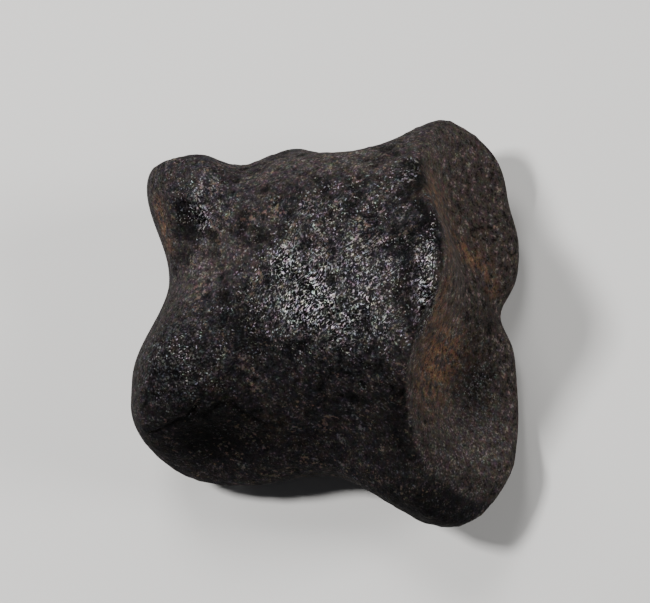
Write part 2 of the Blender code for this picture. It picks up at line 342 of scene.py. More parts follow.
# Mottled stone: scale of the mottling, the share of its broad noise, and its colours
BONE_STONE = {
    "Scale": 900.0, "Broad": 0.45,
    "Dark": (0.0050, 0.0045, 0.0054, 1), "Middle": (0.0165, 0.0148, 0.0172, 1),
    "Light": (0.110, 0.097, 0.101, 1),
}
BROWN_STONE = {
    "Scale": 1100.0, "Broad": 0.45,
    "Dark": (0.008, 0.006, 0.006, 1), "Middle": (0.028, 0.022, 0.020, 1),
    "Light": (0.140, 0.108, 0.094, 1),
}
GREY_JOINT = {
    "Scale": 1200.0, "Broad": 0.40,
    "Dark": (0.004, 0.0035, 0.0035, 1), "Middle": (0.022, 0.019, 0.019, 1),
    "Light": (0.090, 0.080, 0.078, 1),
}
BROWN_JOINT = {
    "Scale": 1000.0, "Broad": 0.55,
    "Dark": (0.006, 0.0045, 0.004, 1), "Middle": (0.034, 0.027, 0.024, 1),
    "Light": (0.135, 0.108, 0.096, 1),
}
# Pale stone: the colour of pale wear and of painted light
PALE_AND_LIT_STONE = {
    "Scale": 1000.0, "Broad": 0.20,
    "Dark": (0.030, 0.024, 0.023, 1), "Middle": (0.070, 0.058, 0.054, 1),
    "Light": (0.250, 0.215, 0.195, 1),
}
ORANGE_STAIN = {
    "Scale": 1200.0, "Broad": 0.55,
    "Dark": (0.020, 0.011, 0.009, 1), "Middle": (0.100, 0.056, 0.034, 1),
    "Light": (0.210, 0.132, 0.082, 1),
}
GRIT_COLOUR = (0.150, 0.108, 0.082, 1)
# Near-white of the painted glints on wrinkle tops, bumps and specks
PAINTED_GLINT_COLOUR = (0.800, 0.792, 0.815, 1)
# Black of painted shade in gaps, low places and dark places, and of dark stain
SHADE_AND_STAIN_BLACK = (0.001, 0.001, 0.001, 1)

# Levels of the mottling between which dark turns to middle, and middle to light
MIDDLE_LEVELS, LIGHT_LEVELS = (0.40, 0.49), (0.56, 0.64)

# Its two noises: detail and roughness, and how many times finer the fine one is
BROAD_MOTTLE, FINE_MOTTLE = (2.0, 0.55), (2.0, 0.60)
MOTTLE_FINER = 3.4

# Noises of the wear, of the gloss and of the joints' speckle: scale, detail and roughness
WEAR_NOISE = (500.0, 3.0, 0.6)
GLOSS_NOISE = (330.0, 3.0, 0.6)
JOINT_SPECKLE = (3200.0, 2.0, 0.6)

# Patches: the scale, detail and roughness of a noise, and the levels between which the patches come in
BROWN_PATCHES = (500.0, 4.0, 0.7), (0.42, 0.66)
# Patches in which pale wear and painted light lie
PALE_AND_LIT_PATCHES = (600.0, 4.0, 0.7), (0.30, 0.50)
STAIN_BLOTCHES = (700.0, 4.0, 0.7), (0.41, 0.56)
# The next three place painted glints: breaks in the strokes, specks and bumps
GLINT_STROKE_BREAKS = (2600.0, 1.0, 0.5), (0.42, 0.54)
GLINT_SPECK_GRAINS = (3600.0, 1.0, 0.5), (0.62, 0.70)
GLINT_BUMPS = (2700.0, 2.0, 0.6), (0.52, 0.66)

# Wrinkles: scale and width, the noise's detail, roughness and distortion, and how they are drawn out
WRINKLES = {"Scale": 2700.0, "Width": 0.072}
WRINKLE_NOISE = (1.0, 0.5, 0.6)
WRINKLE_TURN, WRINKLE_STRETCH = math.radians(55), 1.9

# Bends in the wrinkles: scale, strength in metres and detail
BENDS = (260.0, 0.0022, 0.0)

# Grit stuck to the stone: its flecks' scale and level, the noise's detail and roughness, and the soft edge
GRIT_FLECKS = {"Scale": 1700.0, "Level": 0.66}
FLECK_NOISE, FLECK_EDGE = (3.0, 0.6), (-0.02, 0.05)

# Broad patches with more and less grit: scale against the flecks', detail, and how far they move the level
FLECK_PATCH_SCALE, FLECK_PATCH_DETAIL, FLECK_PATCHES = 0.2, 1.0, (0.30, -0.30)

# How much of the grit shows on bone and on a joint, and what is left of it under painted shade and dark stain
GRIT_ON_BONE, GRIT_ON_JOINT, GRIT_IN_DARK = 0.60, 0.18, 0.25

# How unevenly gloss shows in its places, and the levels at which it is there at all and at which it is full
GLOSS_UNEVEN = (-0.8, 2.8)
GLOSS_PRESENT, GLOSS_FULL = (0.02, 0.15), (0.02, 1.0)

# What is left of the painted glint strokes in low places
GLINT_STROKES_IN_LOW = 0.2

# How much painted shade in the gaps between wrinkles shows on bone and on a joint where there is no gloss
GAP_SHADE_ON_BONE, GAP_SHADE_ON_JOINT = 0.25, 0.15

# Levels of the wear noise between which the painted glint specks come in
GLINT_SPECK_WEAR = (0.44, 0.60)

# How densely painted glint specks lie everywhere, in their own places and on gloss, and what is left of them
# under painted shade and dark stain
SPECKS_EVERYWHERE, SPECKS_IN_PLACES, SPECKS_ON_GLOSS, SPECKS_IN_DARK = 0.08, 0.40, 0.50, 0.65

# How far each of these hides the colour below it: painted shade in gaps and low places, painted glints on
# bumps and specks
GAP_SHADE_COVER, LOW_SHADE_COVER, GLINT_BUMPS_COVER, GLINT_SPECKS_COVER = 0.95, 0.75, 0.06, 0.55

# Tint over all: scale and strength, detail, and the roughness of all noise that wanders
TINT = {"Scale": 1300.0, "Strength": 1.15}
TINT_DETAIL, WANDER_ROUGHNESS = 3.0, 0.7

# Finish: from matt to glossy over these levels of gloss and wear together
MATT_ROUGHNESS, GLOSS_ROUGHNESS = 0.75, 0.32
SHEEN_LEVELS = (0.60, 1.05)
SPECULAR_LEVEL = 0.04

# Height of the bump, in metres
BUMP_HEIGHT = 0.26 * MM

# Grain: scale, the coarse part's scale against that, and details and shares of its coarse and fine parts
GRAIN = {"Scale": 2600.0}
COARSE_GRAIN_SCALE = 0.45
COARSE_DETAIL, FINE_DETAIL = 0.0, 1.0
COARSE_GRAIN, FINE_GRAIN = 0.9, 0.5

# Shares of the bump: wrinkles without and with gloss, and the joints' speckle
WRINKLES_PLAIN, WRINKLES_ON_GLOSS, SPECKLE_HEIGHT = 0.10, 0.55, 0.30

# How far the joints' patterns are drawn out along the three axes
JOINT_STRETCH = (1.0, 1.0, 1.2)

# Photograph: how far the camera leans from straight above the bone, in the bone's own axes
LEAN_TO_PROXIMAL, LEAN_TO_INNER = math.radians(15), math.radians(12)

# Distance of the camera from the origin of those axes, and how far below it the camera aims
CAMERA_DISTANCE = 300.0
AIM_BELOW_ORIGIN = 1.86

# Picture's width and focal length in pixels, sensor's width in millimetres, nearest that is seen in metres
PICTURE_WIDTH = 650
FOCAL_PIXELS = 2340
SENSOR_WIDTH = 36.0
NEAR_CLIP = 0.01

# Floor: half its side in metres, colour and roughness
FLOOR_HALF_SIDE = 1.5
FLOOR_COLOUR, FLOOR_ROUGHNESS = (0.62, 0.61, 0.59, 1.0), 0.8

# Lamps: place in metres, side of the square in metres, and power in watts
LAMPS = {
    "upper_light": ((-0.12, 0.32, 0.45), 0.20, 1.8),
    "glint_light": ((-0.24, 0.04, 0.46), 0.07, 3.4),
    "side_light": ((0.48, 0.06, 0.28), 0.22, 2.25),
}

# Dim light from all round: colour and strength
AIR_COLOUR, AIR_STRENGTH = (0.9, 0.92, 1.0, 1.0), 0.06

# Stands in for nought where something is divided by it
NEARLY_NOUGHT = 1e-9


# Curves of one value

def blend(low, high, value):
    """0 at low, 1 at high, level at both ends; low may be the greater."""
    t = np.clip((value - low) / (high - low), 0.0, 1.0)
    return t * t * (3.0 - 2.0 * t)


def bell(value, centre, spread):
    """1 at the centre, falling as e to the power of minus half the square of the distance in spreads."""
    return np.exp(-0.5 * ((value - centre) / spread) ** 2)


def bells(value, shapes):
    """The sum of some bells, each with its amount, centre and spread."""
    return sum(amount * bell(value, centre, spread) for amount, centre, spread in shapes)


def step(value, shape):
    """Nothing before a start and the full amount past an end, which may be the lower of the two."""
    amount, start, end = shape
    return amount * blend(start, end, value)


def part_way(first, second, share):
    """first at share 0, second at share 1, in proportion between."""
    return first + (second - first) * share


def rise(value):
    """Half a cosine wave from 0 at 0 to 1 at 1."""
    return 0.5 - 0.5 * np.cos(math.pi * np.clip(value, 0.0, 1.0))


def span(low, high, t):
    """low at -1, 0 at 0 and high at 1, on the parabola through the three."""
    return 0.5 * (high - low) * t + 0.5 * (high + low) * t**2


# Shape of the bone

def distal_joint(b, c):
    """The trochlea: b goes across, c from the palmar end of its arc (-1) to the dorsal end (1).

    c gives the angle about the pivot, and b the place between the inner and the outer side. The radius is
    that of the groove and half a cosine wave more up to the peak of each condyle.
    """
    angle = span(PALMAR_SWEEP, DORSAL_SWEEP, c)
    inner = INNER_REACH + step(angle, INNER_DRAWN_IN) + step(angle, INNER_FLARE)
    outer = OUTER_REACH + step(angle, OUTER_FLARE)
    y = span(inner, outer, b)
    swell = np.where(y < 0, rise(-y / INNER_PEAK) ** INNER_FULLNESS, rise(y / OUTER_PEAK))
    radius = GROOVE_RADIUS + CONDYLE_RISE * swell + step(y, INNER_FALL) + step(y, OUTER_FALL)
    x = PIVOT_X - radius * np.cos(angle)
    z = PIVOT_Z + radius * OVALNESS * np.sin(angle)
    return np.stack([x, y, z], axis=-1)


def rim_feature(y, z, shape):
    """A bell over y that comes in over z."""
    amount, centre, spread, start, end = shape
    return amount * bell(y, centre, spread) * blend(start, end, z)


def proximal_joint(b, c):
    """The two dishes: b goes across, c from the palmar rim (-1) to the dorsal rim (1).

    x is a plane over y and z that slopes back towards the dorsal side. The palmar border and the two sides
    drop from it, the features of the rim are added, and the dishes are sunk by bells that end at the rim.
    """
    y = MID_BREADTH + HALF_BREADTH * b
    z = WIDEST_Z + span(PALMAR_DROP, DORSAL_RISE, c)
    z += rim_feature(y, z, EXTENSOR_LIFT)
    x = FACE_X - FACE_SLOPE * z - FACE_TURN * (y - FACE_TURN_Y)
    x += step(z, PALMAR_FLARE) - ROLL * np.maximum(ROLL_TOP_Z - z, 0.0) ** 2
    x += sum(step(y, fall) for fall in SIDE_FALLS) - SIDE_DROP * np.abs(b) ** SIDE_POWER
    x += sum(rim_feature(y, z, shape) for shape in RIM_FEATURES.values())
    inside = (1.0 - b**2) * (1.0 - c**2)
    x -= DISH_DEPTH * inside * bells(y, DISHES)
    return np.stack([x, y, z], axis=-1)


def round_rims(cube):
    """The cube's points drawn in where its ends meet its sides.

    Each is divided by a root of the sum of two powers, of its place along and of the greater of its places
    across. A higher power makes a crisper rim.
    """
    a, b, c = cube[:, 0], cube[:, 1], cube[:, 2]
    side = np.maximum(np.abs(b), np.abs(c))
    proximal = part_way(PALMAR_CRISP, DORSAL_CRISP, blend(*CRISP_OVER_DEPTH, c))
    power = part_way(DISTAL_CRISP, proximal, blend(*CRISP_OVER_LENGTH, a))
    return cube / ((np.abs(a) ** power + side**power) ** (1.0 / power))[:, None]


def round_section(b, c):
    """The square cross-section of the cube, made a superellipse of the same breadth and depth."""
    side = np.maximum(np.abs(b), np.abs(c))
    length = (np.abs(b) ** SECTION_POWER + np.abs(c) ** SECTION_POWER) ** (1.0 / SECTION_POWER)
    scale = side / np.maximum(length, NEARLY_NOUGHT)
    return b * scale, c * scale


def push(points, centre, spread):
    """1 at centre and falling away as a bell over spread, which may differ along the three axes."""
    distance = ((points - np.array(centre)) / np.array(spread)) ** 2
    return np.exp(-0.5 * distance.sum(axis=-1))


def bone_points(cube):
    """Points of the bone for points on the cube from -1 to 1.

    The place along gives the shares of the two joints. Each swelling or hollow adds a bell times its push.
    """
    cube = round_rims(cube)
    b, c = round_section(cube[:, 1], cube[:, 2])
    along = 0.5 * (cube[:, :1] + 1.0)
    points = part_way(distal_joint(b, c), proximal_joint(b, c), along)
    for centre, spread, move in SWELLINGS.values():
        points = points + push(points, centre, spread)[:, None] * np.array(move)
    return points


def cube_shell(cells):
    """Points and quads of a cube from -1 to 1: each side is a grid of two parameters, with joined edges.

    A point's number is the sum of its steps along the three axes, each times that axis's stride.
    """
    counts = np.array(cells)
    strides = np.array([1, counts[0] + 1, (counts[0] + 1) * (counts[1] + 1)])
    quads = []
    for axis, u_axis, v_axis in ((0, 1, 2), (1, 2, 0), (2, 0, 1)):
        u, v = np.meshgrid(np.arange(counts[u_axis]), np.arange(counts[v_axis]), indexing="ij")
        corner = u * strides[u_axis] + v * strides[v_axis]
        du, dv = strides[u_axis], strides[v_axis]
        turn = np.stack([corner, corner + du, corner + du + dv, corner + dv], axis=-1).reshape(-1, 4)
        quads += [turn[:, ::-1], turn + counts[axis] * strides[axis]]
    keys, quads = np.unique(np.concatenate(quads), return_inverse=True)
    places = np.stack([keys % strides[1], keys % strides[2] // strides[1], keys // strides[2]], axis=-1)
    return 2.0 * places / counts - 1.0, quads.reshape(-1, 4)


def outward(points, quads):
    """Unit normals at the points: the sum of the cross products of the diagonals of the quads round each."""
    cross = np.cross(points[quads[:, 2]] - points[quads[:, 0]], points[quads[:, 3]] - points[quads[:, 1]])
    sums = [np.bincount(quads.ravel(), np.repeat(part, 4), len(points)) for part in cross.T]
    total = np.stack(sums, axis=-1)
    return total / np.linalg.norm(total, axis=1, keepdims=True)


# Turning the bone as it lies

def turned(points, first, second, angle):
    """The points turned in the plane of two axes, from the first towards the second."""
    result = points.copy()
    result[:, first] = math.cos(angle) * points[:, first] - math.sin(angle) * points[:, second]
    result[:, second] = math.sin(angle) * points[:, first] + math.cos(angle) * points[:, second]
    return result


def as_it_lies(points):
    """The points pitched about y and then rolled about x."""
    return turned(turned(points, 0, 2, REST_PITCH), 1, 2, REST_ROLL)


def resting_shift():
    """The move that centres the bone's box over the origin and sinks it by the depth of its flats."""
    points = as_it_lies(bone_points(cube_shell(PLACING_CELLS)[0]))
    low, high = points.min(axis=0), points.max(axis=0)
    middle = 0.5 * (low + high)
    return -np.array([middle[0], middle[1], low[2] + FLAT_DEPTH])


# Fine relief

def scrambled(i, j, k, seed):
    """A fixed number from 0 to 1 for each whole-number place, scrambled by multiplying and shifting."""
    number = i * PLACE_FACTORS[0] ^ j * PLACE_FACTORS[1] ^ k * PLACE_FACTORS[2] ^ seed * SEED_FACTOR
    number = number & WORD
    for shift, factor in SCRAMBLES:
        number = (number ^ number >> shift) * factor & WORD
    return ((number ^ number >> LAST_SHIFT) & HALF_WORD) / HALF_WORD


def lumps(points, kind):
    """Smooth noise up to a height either way: scrambled numbers at a lattice, blended between its corners."""
    height, size, seed = kind
    scaled = points / size + LATTICE_START
    low = np.floor(scaled).astype(np.int64)
    t = blend(0.0, 1.0, scaled - low)
    total = np.zeros(len(points))
    for corner in np.ndindex(2, 2, 2):
        weight = np.prod(np.where(corner, t, 1.0 - t), axis=1)
        total += weight * scrambled(*(low + corner).T, seed)
    return height * (2.0 * total - 1.0)


def pits(points, kind):
    """Depth of the deepest pit near each point.

    A share of a lattice's cells hold one: a bell at a scrambled place in the cell, of a scrambled breadth.
    """
    depth, size, seed, share = kind
    scaled = points / size + LATTICE_START
    low = np.floor(scaled).astype(np.int64)
    deepest = np.zeros(len(points))
    for corner in np.ndindex(3, 3, 3):
        cell = low + np.array(corner) - 1
        centre = cell + np.stack([scrambled(*cell.T, seed + n) for n in (1, 2, 3)], axis=-1)
        held = scrambled(*cell.T, seed + 4) < share
        breadth = part_way(NARROW_PIT, WIDE_PIT, scrambled(*cell.T, seed + 5))
        distance = np.linalg.norm(scaled - centre, axis=1)
        deepest = np.maximum(deepest, held * bell(distance, 0.0, breadth))
    return depth * deepest


def along_path(points, path, width):
    """1 on a path through some points, falling away as a bell of that width on both sides of it."""
    nearest = np.full(len(points), np.inf)
    for start, end in zip(np.array(path[:-1]), np.array(path[1:])):
        way = end - start
        t = np.clip((points - start) @ way / (way @ way), 0.0, 1.0)
        nearest = np.minimum(nearest, np.linalg.norm(points - start - t[:, None] * way, axis=1))
    return bell(nearest, 0.0, width)


def relief_height(points, joint):
    """Height over the smooth form, along its normal: the sum of lines and lumps, less furrows and pits.

    A furrow is deep where its noise is far from nought. A joint has lines, low broad lumps and its own pits.
    """
    rough = (1.0 - joint) * part_way(PALMAR_ROUGH, 1.0, blend(*DORSAL_START, points[:, 2]))
    strayed = points + np.stack([lumps(points, kind) for kind in STRAYS], axis=-1)
    height = sum(depth * along_path(strayed, path, width) for path, width, depth in RELIEF_LINES.values())
    height += lumps(points, BROAD_LUMPS) * part_way(BROAD_ON_JOINT, 1.0, rough)
    height += rough * (lumps(points, MIDDLE_LUMPS) + lumps(points, SMALL_LUMPS))
    height -= rough * (np.abs(lumps(strayed, FURROWS)) + pits(points, LARGE_PITS) + pits(points, SMALL_PITS))
    height -= joint * pits(points, JOINT_PITS)
    return height


# Where each finish lies

def proximal_cover(cube, points):
    """1 on the smooth face of the proximal joint; its dorsal rim and the inner tubercle are rough."""
    y, z = points[:, 1], points[:, 2]
    rim = FACE_RIM + bells(y, FACE_RIM_DIPS)
    face = blend(*FACE_BORDER, cube[:, 0]) * blend(rim + FACE_RIM_SOFT, rim - FACE_RIM_SOFT, cube[:, 2])
    edge = TUBERCLE_EDGE + step(z, TUBERCLE_EDGE_MOVE)
    return face * blend(edge - TUBERCLE_EDGE_SOFT, edge + TUBERCLE_EDGE_SOFT, y)


def distal_cover(cube, points):
    """1 on the smooth arc of the distal joint; its edge rises beside the groove and on the outer side."""
    y, z = points[:, 1], points[:, 2]
    angle = np.degrees(np.arctan2((z - PIVOT_Z) / OVALNESS, PIVOT_X - points[:, 0]))
    edge = ARC_EDGE + step(y, ARC_EDGE_OUTER) + bells(y, ARC_EDGE_RISES)
    arc = blend(edge + ARC_EDGE_SOFT, edge - ARC_EDGE_SOFT, angle) * blend(*ARC_PALMAR_EDGE, angle)
    return arc * blend(*ARC_SIDES, np.abs(cube[:, 1])) * blend(*ARC_END, cube[:, 0])


def mask(points, places, lines):
    """The sum of bells over some places and along some lines, kept between 0 and 1."""
    spots = sum(strength * push(points, centre, spread) for centre, spread, strength in places.values())
    bands = sum(strength * along_path(points, path, width) for path, width, strength in lines.values())
    return np.clip(spots + bands, 0.0, 1.0)


def bone_piece():
    """The bone's surface: the cube's shell mapped to the bone, with the fine relief along its normals.

    It is turned and moved as it lies, and what would be below the floor is flat on it.
    """
    cube, quads = cube_shell(SURFACE_CELLS)
    smooth = bone_points(cube)
    brown = proximal_cover(cube, smooth)
    joint = np.maximum(brown, distal_cover(cube, smooth))
    height = relief_height(smooth, joint)
    lying = as_it_lies(smooth + height[:, None] * outward(smooth, quads)) + resting_shift()
    lying[:, 2] = np.maximum(lying[:, 2], 0.0)
    mesh = bpy.data.meshes.new("bone_surface")
    mesh.from_pydata((lying * MM).tolist(), [], quads.tolist())
    mesh.shade_smooth()
    # Masks: gloss also places painted glints, pale holds painted light, dark and low hold painted shade,
    # specks hold painted glints
    masks = {
        "joint": joint,
        "brown": brown,
        "gloss": mask(smooth, GLOSS_AND_GLINT_PLACES, GLOSS_AND_GLINT_LINES) * (1.0 - joint),
        "pale": mask(smooth, PALE_AND_LIT_PLACES, PALE_AND_LIT_LINES),
        "stain": mask(smooth, STAIN_PLACES, STAIN_LINES),
        "dark": mask(smooth, SHADE_AND_STAIN_PLACES, PAINTED_SHADE_LINES),
        "glint_specks": mask(smooth, GLINT_SPECK_PLACES, {}),
        "low": blend(*SHADED_LOW_HEIGHTS, height) * (1.0 - joint),
    }
    for name, values in masks.items():
        mesh.attributes.new(name, "FLOAT", "POINT").data.foreach_set("value", values.astype(np.float32))
    piece = bpy.data.objects.new("bone_surface", mesh)
    bpy.context.scene.collection.objects.link(piece)
    piece.data.materials.append(fossil_material(masks.keys()))
    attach(piece, "root")
    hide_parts(NODE)


# Helpers that build nodes

def add(tree, kind, inputs=None, **settings):
    """A node with its settings; each of its inputs is a value or the output socket that feeds it."""
    node = tree.nodes.new(kind)
    for name, value in settings.items():
        setattr(node, name, value)
    for key, value in (inputs or {}).items():
        if isinstance(value, bpy.types.NodeSocket):
            tree.links.new(value, node.inputs[key])
        else:
            node.inputs[key].default_value = value
    return node


def worked(tree, operation, first, second=0.0, third=0.0):
    """The result of one step of arithmetic on values."""
    return add(tree, "ShaderNodeMath", {0: first, 1: second, 2: third}, operation=operation).outputs[0]


def product(tree, first, *others):
    """Some values multiplied together."""
    for other in others:
        first = worked(tree, "MULTIPLY", first, other)
    return first


def moved(tree, operation, vector, shift):
    """A vector with another one added or subtracted."""
    return add(tree, "ShaderNodeVectorMath", {0: vector, 1: shift}, operation=operation).outputs[0]


def ramp(tree, value, at_nought, at_one):
    """One number where the value is 0, another where it is 1, and in proportion elsewhere."""
    return worked(tree, "MULTIPLY_ADD", value, at_one - at_nought, at_nought)


def between(tree, value, low, high):
    """0 at low, 1 at high, level at both ends."""
    inputs = {"Value": value, "From Min": low, "From Max": high}
    return add(tree, "ShaderNodeMapRange", inputs, interpolation_type="SMOOTHSTEP").outputs["Result"]


def mixed(tree, share, first, second, way="MIX"):
    """The first colour at share 0, the second at share 1, laid over it or multiplied with it."""
    inputs = {0: share, 6: first, 7: second}
    return add(tree, "ShaderNodeMix", inputs, data_type="RGBA", blend_type=way).outputs[2]


def noise(tree, place, scale, detail, roughness=0.5, distortion=0.0):
    """Noise from 0 to 1, mostly near its middle; a larger scale makes it finer."""
    inputs = {
        "Vector": place, "Scale": scale, "Detail": detail, "Roughness": roughness, "Distortion": distortion,
    }
    return add(tree, "ShaderNodeTexNoise", inputs).outputs["Fac"]


def patches(tree, place, kind):
    """1 where a noise is over its upper level, 0 where it is under its lower one."""
    wave, levels = kind
    return between(tree, noise(tree, place, *wave), *levels)


def wander(tree, place, scale, strength, detail):
    """A vector whose three parts drift apart around nought: a shift of the place, or of a colour."""
    inputs = {"Vector": place, "Scale": scale, "Detail": detail, "Roughness": WANDER_ROUGHNESS}
    three = add(tree, "ShaderNodeTexNoise", inputs).outputs["Color"]
    centred = moved(tree, "SUBTRACT", three, (0.5, 0.5, 0.5))
    return add(tree, "ShaderNodeVectorMath", {0: centred, "Scale": strength}, operation="SCALE").outputs[0]


def stretched(tree, place, turn, stretch):
    """The place along turned axes, each divided by a stretch, by which a pattern on it is drawn out."""
    inputs = {"Vector": place, "Rotation": turn, "Scale": stretch}
    return add(tree, "ShaderNodeMapping", inputs, vector_type="TEXTURE").outputs["Vector"]


def group(name, inputs, outputs):
    """An empty node group with its named sockets, and the sockets inside it."""
    tree = bpy.data.node_groups.new(name, "ShaderNodeTree")
    for label, kind in inputs.items():
        tree.interface.new_socket(label, in_out="INPUT", socket_type=kind)
    for label, kind in outputs.items():
        tree.interface.new_socket(label, in_out="OUTPUT", socket_type=kind)
    return tree, tree.nodes.new("NodeGroupInput").outputs, tree.nodes.new("NodeGroupOutput").inputs


def placed(tree, made, place, values):
    """The output of a node group that is set into a material with its own place and values."""
    return add(tree, "ShaderNodeGroup", {"Place": place, **values}, node_tree=made).outputs[0]


VECTOR, VALUE, COLOUR = "NodeSocketVector", "NodeSocketFloat", "NodeSocketColor"


# Node groups

def mottle_group():
    """Broad and fine noise together choose between a dark, a middle and a light colour."""
    numbers = {"Scale": VALUE, "Broad": VALUE}
    colours = {"Dark": COLOUR, "Middle": COLOUR, "Light": COLOUR}
    tree, get, put = group("stone_mottle", {"Place": VECTOR, **numbers, **colours}, {"Colour": COLOUR})
    broad = noise(tree, get["Place"], get["Scale"], *BROAD_MOTTLE)
    fine = noise(tree, get["Place"], product(tree, get["Scale"], MOTTLE_FINER), *FINE_MOTTLE)
    fine_share = worked(tree, "SUBTRACT", 1.0, get["Broad"])
    level = worked(tree, "MULTIPLY_ADD", broad, get["Broad"], product(tree, fine, fine_share))
    colour = mixed(tree, between(tree, level, *MIDDLE_LEVELS), get["Dark"], get["Middle"])
    colour = mixed(tree, between(tree, level, *LIGHT_LEVELS), colour, get["Light"])
    tree.links.new(colour, put["Colour"])
    return tree


def wrinkle_group():
    """Rounded ridges that wind where noise is near its middle value: 1 on a ridge, 0 between."""
    inputs = {"Place": VECTOR, "Scale": VALUE, "Width": VALUE}
    tree, get, put = group("winding_wrinkles", inputs, {"Height": VALUE})
    wavy = noise(tree, get["Place"], get["Scale"], *WRINKLE_NOISE)
    off_middle = worked(tree, "ABSOLUTE", worked(tree, "SUBTRACT", wavy, 0.5))
    tree.links.new(between(tree, off_middle, get["Width"], 0.0), put["Height"])
    return tree


def grain_group():
    """Fine grain: two sizes of noise added together."""
    tree, get, put = group("stone_grain", {"Place": VECTOR, "Scale": VALUE}, {"Height": VALUE})
    coarse = noise(tree, get["Place"], product(tree, get["Scale"], COARSE_GRAIN_SCALE), COARSE_DETAIL)
    fine = noise(tree, get["Place"], get["Scale"], FINE_DETAIL)
    height = worked(tree, "ADD", product(tree, coarse, COARSE_GRAIN), product(tree, fine, FINE_GRAIN))
    tree.links.new(height, put["Height"])
    return tree


def fleck_group():
    """A mask of uneven flecks where noise rises over a level, in some broad patches more than in others."""
    inputs = {"Place": VECTOR, "Scale": VALUE, "Level": VALUE}
    tree, get, put = group("grit_flecks", inputs, {"Mask": VALUE})
    small = noise(tree, get["Place"], get["Scale"], *FLECK_NOISE)
    broad = noise(tree, get["Place"], product(tree, get["Scale"], FLECK_PATCH_SCALE), FLECK_PATCH_DETAIL)
    level = worked(tree, "ADD", get["Level"], ramp(tree, broad, *FLECK_PATCHES))
    over = worked(tree, "SUBTRACT", small, level)
    tree.links.new(between(tree, over, *FLECK_EDGE), put["Mask"])
    return tree


def tint_group():
    """A colour near white whose red, green and blue wander apart, to multiply another colour by."""
    inputs = {"Place": VECTOR, "Scale": VALUE, "Strength": VALUE}
    tree, get, put = group("wandering_tint", inputs, {"Colour": COLOUR})
    drift = wander(tree, get["Place"], get["Scale"], get["Strength"], TINT_DETAIL)
    tree.links.new(moved(tree, "ADD", drift, (1.0, 1.0, 1.0)), put["Colour"])
    return tree


# Materials

def stone_colour(tree, place, deep, masks):
    """The stone's colour, with painted light and shade among its layers: each layer is laid over the ones
    before it by its mask.

    Bone has brown patches, joints are grey and brown, and on all lie pale wear with painted light, orange
    stain, black for painted shade and dark stain, and grit.
    """
    mottle = mottle_group()
    colour = placed(tree, mottle, place, BONE_STONE)
    brown = placed(tree, mottle, place, BROWN_STONE)
    colour = mixed(tree, patches(tree, place, BROWN_PATCHES), colour, brown)
    colour = mixed(tree, masks["joint"], colour, placed(tree, mottle, place, GREY_JOINT))
    colour = mixed(tree, masks["brown"], colour, placed(tree, mottle, deep, BROWN_JOINT))
    # Pale wear and painted light
    pale_and_lit = product(tree, masks["pale"], patches(tree, place, PALE_AND_LIT_PATCHES))
    colour = mixed(tree, pale_and_lit, colour, placed(tree, mottle, place, PALE_AND_LIT_STONE))
    stained = product(tree, masks["stain"], patches(tree, deep, STAIN_BLOTCHES))
    colour = mixed(tree, stained, colour, placed(tree, mottle, place, ORANGE_STAIN))
    # Black painted as shade in hollows, pits and creases, with some dark stain
    colour = mixed(tree, masks["dark"], colour, SHADE_AND_STAIN_BLACK)
    off_joint = ramp(tree, masks["joint"], GRIT_ON_BONE, GRIT_ON_JOINT)
    in_light = ramp(tree, masks["dark"], 1.0, GRIT_IN_DARK)
    grit = placed(tree, fleck_group(), place, GRIT_FLECKS)
    return mixed(tree, product(tree, grit, off_joint, in_light), colour, GRIT_COLOUR)


def glint_speck_mask(tree, place, wear, masks):
    """Fine painted glint specks where the wear noise is high: most on gloss and in their own places, fewer
    under painted shade and dark stain.
    """
    grains = product(tree, patches(tree, place, GLINT_SPECK_GRAINS), between(tree, wear, *GLINT_SPECK_WEAR))
    on_gloss = between(tree, masks["gloss"], *GLOSS_PRESENT)
    spread = worked(tree, "MULTIPLY_ADD", on_gloss, SPECKS_ON_GLOSS, SPECKS_EVERYWHERE)
    spread = worked(tree, "MULTIPLY_ADD", masks["glint_specks"], SPECKS_IN_PLACES, spread)
    spread = worked(tree, "MINIMUM", spread, 1.0)
    return product(tree, grains, spread, ramp(tree, masks["dark"], 1.0, SPECKS_IN_DARK))


def painted_glints_and_shade(tree, place, colour, ridges, gloss, wear, masks):
    """The stone's colour with painted shade in black in its gaps and low places, and painted glints on bumps,
    specks and wrinkles.

    A wrinkle's top shows painted glints as light strokes, which break off and fade in low places.
    """
    glint_strokes = product(tree, ridges, patches(tree, place, GLINT_STROKE_BREAKS), gloss)
    glint_strokes = product(tree, glint_strokes, ramp(tree, masks["low"], 1.0, GLINT_STROKES_IN_LOW))
    rough = ramp(tree, masks["joint"], GAP_SHADE_ON_BONE, GAP_SHADE_ON_JOINT)
    shaded_gaps = product(tree, worked(tree, "SUBTRACT", 1.0, ridges), worked(tree, "MAXIMUM", gloss, rough))
    glint_bumps = product(tree, patches(tree, place, GLINT_BUMPS), masks["glint_specks"])
    glint_specks = glint_speck_mask(tree, place, wear, masks)
    # Painted shade in black, then painted glints in near-white
    colour = mixed(tree, product(tree, shaded_gaps, GAP_SHADE_COVER), colour, SHADE_AND_STAIN_BLACK)
    colour = mixed(tree, product(tree, masks["low"], LOW_SHADE_COVER), colour, SHADE_AND_STAIN_BLACK)
    colour = mixed(tree, product(tree, glint_bumps, GLINT_BUMPS_COVER), colour, PAINTED_GLINT_COLOUR)
    colour = mixed(tree, product(tree, glint_specks, GLINT_SPECKS_COVER), colour, PAINTED_GLINT_COLOUR)
    return mixed(tree, glint_strokes, colour, PAINTED_GLINT_COLOUR)


